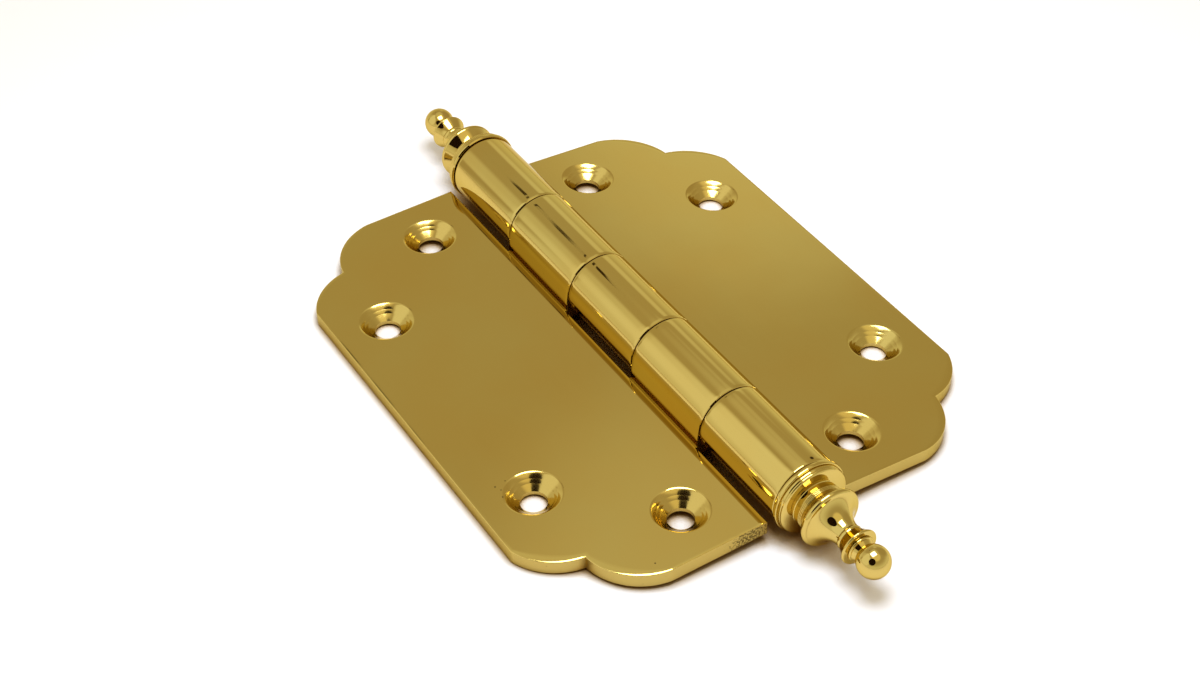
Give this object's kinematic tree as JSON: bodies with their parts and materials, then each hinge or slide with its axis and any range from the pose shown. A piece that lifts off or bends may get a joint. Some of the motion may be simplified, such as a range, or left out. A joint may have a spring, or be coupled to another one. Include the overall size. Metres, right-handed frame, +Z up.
{
  "type": "butt hinge",
  "caption": "Solid brass butt hinge with lobed leaf corners, countersunk screw holes and turned ball finials, lying open with its face up.",
  "frame": {"origin": "on the table, below the middle of the barrel, with the hinge lying open and its countersinks up", "axes": "+Y along the barrel towards the far ball tip, +Z up, the leaves towards -X and +X"},
  "size_m": [0.0956, 0.1536, 0.0147],
  "materials": {
    "leaf_brass": "buffed and lacquered",
    "finial_brass": "turned, polished and lacquered",
    "pin_steel": "drawn rod"
  },
  "bodies": {
    "right_side": {"right_leaf": "leaf_brass", "hinge_pin": "pin_steel", "far_finial": "finial_brass", "near_finial": "finial_brass"},
    "left_side": {"left_leaf": "leaf_brass"}
  },
  "joints": [
    {"name": "left_leaf_swing", "type": "hinge", "parent": "right_side", "child": "left_side", "pos_m": [0, 0, 0.00735], "axis": [0, 1, 0], "range_deg": [-105, 190]}
  ]
}
